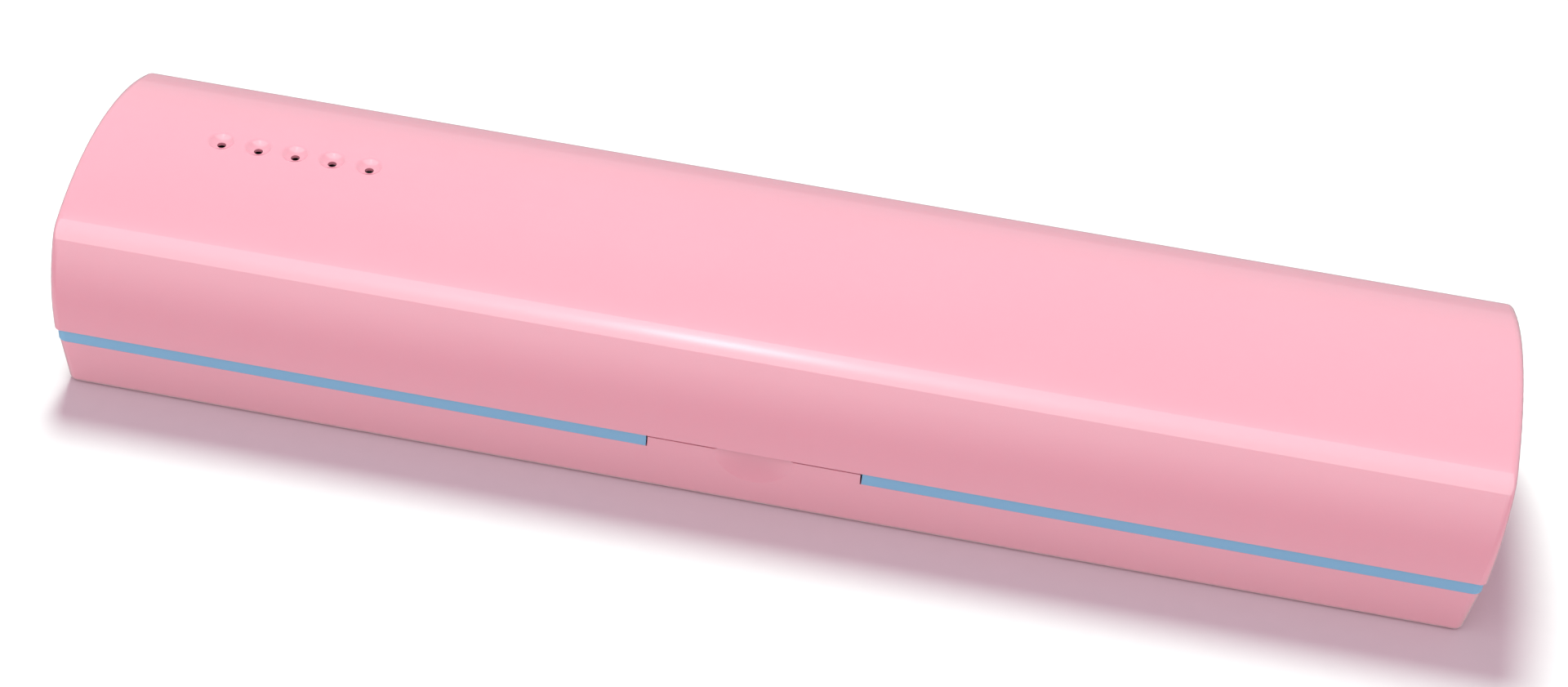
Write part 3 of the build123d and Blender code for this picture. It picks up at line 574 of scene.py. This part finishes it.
@dataclass
class LampBay:
    """The lamp, its holders, reflector and window."""

    def build(self, dresser: Dresser) -> None:
        """Dresses the lamp bay."""
        dresser.dress(Glass("lamp_quartz", (0.93, 0.95, 1.0), ior=1.46).build(), "lamp_tube")
        dresser.dress(Glass("window_clear", (0.95, 0.98, 1.0), roughness=0.05).build(), "lamp_window")
        dresser.dress(Metal("cap_aluminium", (0.78, 0.79, 0.80), 0.3).build(), "lamp_caps",
                      "lamp_electrodes")
        dresser.dress(Metal("reflector_bright", (0.90, 0.91, 0.92), 0.12, 1800.0).build(), "reflector")
        dresser.dress(Plastic("holder_white", (0.78, 0.78, 0.75), 0.45, grain=1600.0).build(),
                      "lamp_holders")


@dataclass
class Electronics:
    """The board and what it carries, with the wiring and the lid switch."""

    def build(self, dresser: Dresser) -> None:
        """Dresses the electronics."""
        dresser.dress(CircuitBoard().build(), "circuit_board")
        dresser.dress(Winding().build(), "transformer_coil")
        dresser.dress(Plastic("ferrite", (0.022, 0.022, 0.024), 0.55, 0.3, 2500.0, 0.05 * MM).build(),
                      "transformer_core")
        dresser.dress(Plastic("capacitor_sleeve", (0.012, 0.03, 0.09), 0.28, 0.1).build(), "capacitors")
        dresser.dress(Plastic("chip_black", (0.014, 0.014, 0.016), 0.5, 0.2, 3000.0).build(),
                      "driver_chip", "board_resistors", "switch_body")
        dresser.dress(Plastic("lead_red", (0.48, 0.02, 0.015), 0.4).build(), "battery_leads")
        dresser.dress(Plastic("lead_white", (0.75, 0.74, 0.70), 0.4).build(), "lamp_leads")
        dresser.dress(Plastic("plunger_white", (0.76, 0.78, 0.80), 0.35, grain=1600.0).build(),
                      "switch_plunger")


@dataclass
class Hardware:
    """Pins, screws, springs, contacts and cells."""

    bare_end: float = 1.9 * MM  # steel left bare past each end of a cell's sleeve

    def build(self, dresser: Dresser) -> None:
        """Dresses the hardware."""
        dresser.dress(Metal("pin_steel", (0.56, 0.56, 0.57), 0.28).build(), "hinge_pins")
        dresser.dress(Metal("screw_zinc", (0.66, 0.67, 0.70), 0.3, 1500.0).build(), "case_screws",
                      "board_screws")
        dresser.dress(Metal("contact_nickel", (0.72, 0.70, 0.66), 0.22).build(), "battery_terminals",
                      "bridge_contact", "contact_springs", "plunger_spring")
        low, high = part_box("battery_cells")
        middle = (low[0] + high[0]) / 2
        cells = CellWrap("cell_wrap", middle, (high[0] - low[0]) / 2 - self.bare_end)
        dresser.dress(cells.build(), "battery_cells")


# ------------------------------------------------------------------ the studio
@dataclass(frozen=True)
class Glare:
    """A soft bright patch in the studio's tent.

    Its brightness is the level times a bell over the height angle times a bell over the sideways slope.
    """

    level: float
    height: float
    height_spread: float
    side: float
    side_spread: float

    def build(self, graph: Graph, height: Socket, side: Socket) -> Socket:
        """Brightness of the patch.

        Args:
            graph: the world's graph.
            height: angle over the front horizon, in degrees.
            side: the direction's X.

        Returns:
            The brightness.
        """
        drop = graph.bell(height, self.height, self.height_spread)
        fade = graph.bell(side, self.side, self.side_spread)
        return graph.maths("MULTIPLY", graph.maths("MULTIPLY", drop, fade), self.level)


@dataclass
class Studio:
    """Floor, light tent and key lights.

    The floor's colour is pinkish and the floor's own key is tinted against it, so that the lit floor is
    neutral and its shadows are warm.
    """

    floor_half: float = 2.5
    floor_colour: Colour = (0.585, 0.43, 0.495)
    tent: tuple[tuple[float, float], ...] = (
        (-60.0, 0.42), (-32.0, 0.36), (-24.0, 0.20), (-12.0, 0.12), (-4.0, 0.20), (2.0, 0.32),
        (12.0, 0.55), (22.0, 0.80), (28.0, 1.32), (88.0, 1.32), (93.0, 0.64), (120.0, 0.62),
        (150.0, 0.62), (180.0, 0.55))
    glares: tuple[Glare, ...] = (
        Glare(0.5, 58.0, 18.0, -0.10, 0.12), Glare(1.6, 61.0, 10.0, -0.11, 0.035))
    key_place: tuple[float, float, float] = (-0.22, 0.72, 1.13)
    key_size: float = 0.44
    key_power: float = 10.0
    floor_key_power: float = 34.0
    floor_key_colour: Colour = (0.465, 1.0, 0.73)

    def build(self) -> None:
        """Builds the floor, the tent, the key light and the key that lights the floor alone."""
        floor = self.floor()
        self.sky()
        self.key("key", self.key_power)
        floor_only = bpy.data.collections.new("floor_only")
        floor_only.objects.link(floor)
        floor_key = self.key("floor_key", self.floor_key_power)
        floor_key.data.color = self.floor_key_colour
        floor_key.light_linking.receiver_collection = floor_only

    def sky(self) -> None:
        """A tent whose brightness follows the angle over the front horizon, with soft bright patches."""
        world = bpy.data.worlds.new("studio")
        world.use_nodes = True
        graph = Graph(world.node_tree)
        background = world.node_tree.nodes["Background"]
        direction = graph.node("ShaderNodeTexCoord").outputs["Generated"]
        side, depth, height = graph.split(direction)
        angle = graph.maths("ARCTAN2", height, graph.maths("MULTIPLY", depth, -1.0))
        degrees = graph.maths("MULTIPLY", angle, 180.0 / math.pi)
        low, high = self.tent[0][0], self.tent[-1][0]
        peak = max(level for _, level in self.tent)
        ramp = graph.node("ShaderNodeValToRGB")
        ramp.color_ramp.interpolation = "LINEAR"
        elements = ramp.color_ramp.elements
        while len(elements) < len(self.tent):
            elements.new(0.5)
        for element, (rise, level) in zip(elements, self.tent):
            element.position = (rise - low) / (high - low)
            element.color = (level / peak, level / peak, level / peak, 1.0)
        graph.feed(ramp.inputs[0], graph.spread(degrees, low, high, 0.0, 1.0))
        total = graph.maths("MULTIPLY", ramp.outputs["Color"], peak)
        for glare in self.glares:
            total = graph.maths("ADD", total, glare.build(graph, degrees, side))
        graph.feed(background.inputs["Strength"], total)
        graph.feed(background.inputs["Color"], WHITE)
        bpy.context.scene.world = world

    def key(self, name: str, power: float) -> bpy.types.Object:
        """A disk light above and behind, which throws the short shadow in front.

        Args:
            name: the light's name.
            power: watts.

        Returns:
            The light.
        """
        data = bpy.data.lights.new(name, "AREA")
        data.shape = "DISK"
        data.size = self.key_size
        data.energy = power
        obj = bpy.data.objects.new(name, data)
        obj.location = self.key_place
        obj.rotation_euler = Vector(self.key_place).to_track_quat("Z", "Y").to_euler()
        obj.visible_glossy = False
        bpy.context.scene.collection.objects.link(obj)
        return obj

    def floor(self) -> bpy.types.Object:
        """A pale floor with a faint paper grain."""
        half = self.floor_half
        corners = np.array([(-half, -half, 0), (half, -half, 0), (half, half, 0), (-half, half, 0)])
        mesh = bpy.data.meshes.new("floor")
        mesh.from_pydata(corners.tolist(), [], [(0, 1, 2, 3)])
        obj = bpy.data.objects.new("floor", mesh)
        bpy.context.scene.collection.objects.link(obj)
        surface = Surface("floor_paper")
        grain = surface.graph.noise(surface.graph.place(), 350.0, 4.0, 0.6)
        shade = surface.graph.spread(grain, NOISE_LOW, NOISE_HIGH, 0.985, 1.0)
        tint = surface.graph.node("ShaderNodeHueSaturation")
        surface.graph.feed(tint.inputs["Color"], self.floor_colour)
        surface.graph.feed(tint.inputs["Value"], shade)
        surface.put(Base_Color=tint.outputs["Color"], Roughness=0.9, Specular_IOR_Level=0.0)
        mesh.materials.append(surface.material)
        obj.visible_glossy = False
        return obj


@dataclass
class Viewpoint:
    """The camera."""

    place: tuple[float, float, float] = (0.039426, -0.336000, 0.300958)
    turn: tuple[float, float, float] = (49.1802, -4.2131, 10.3631)
    lens: float = 65.62
    sensor: float = 36.0
    near: float = 0.01

    def build(self) -> None:
        """Adds the camera and makes it the scene's own."""
        data = bpy.data.cameras.new("camera")
        data.lens = self.lens
        data.sensor_width = self.sensor
        data.clip_start = self.near
        obj = bpy.data.objects.new("camera", data)
        obj.location = self.place
        obj.rotation_euler = Euler([math.radians(a) for a in self.turn], "XYZ")
        bpy.context.scene.collection.objects.link(obj)
        bpy.context.scene.camera = obj


def main() -> None:
    """Builds the object's looks, the studio and the camera."""
    logging.basicConfig(level=logging.INFO, format="%(name)s: %(message)s")
    bpy.context.scene.view_settings.view_transform = "Standard"
    dresser = Dresser(frame["nodes"])
    for assembly in (Shells(), LampBay(), Electronics(), Hardware()):
        assembly.build(dresser)
    Studio().build()
    Viewpoint().build()


if __name__ == "__main__":
    main()
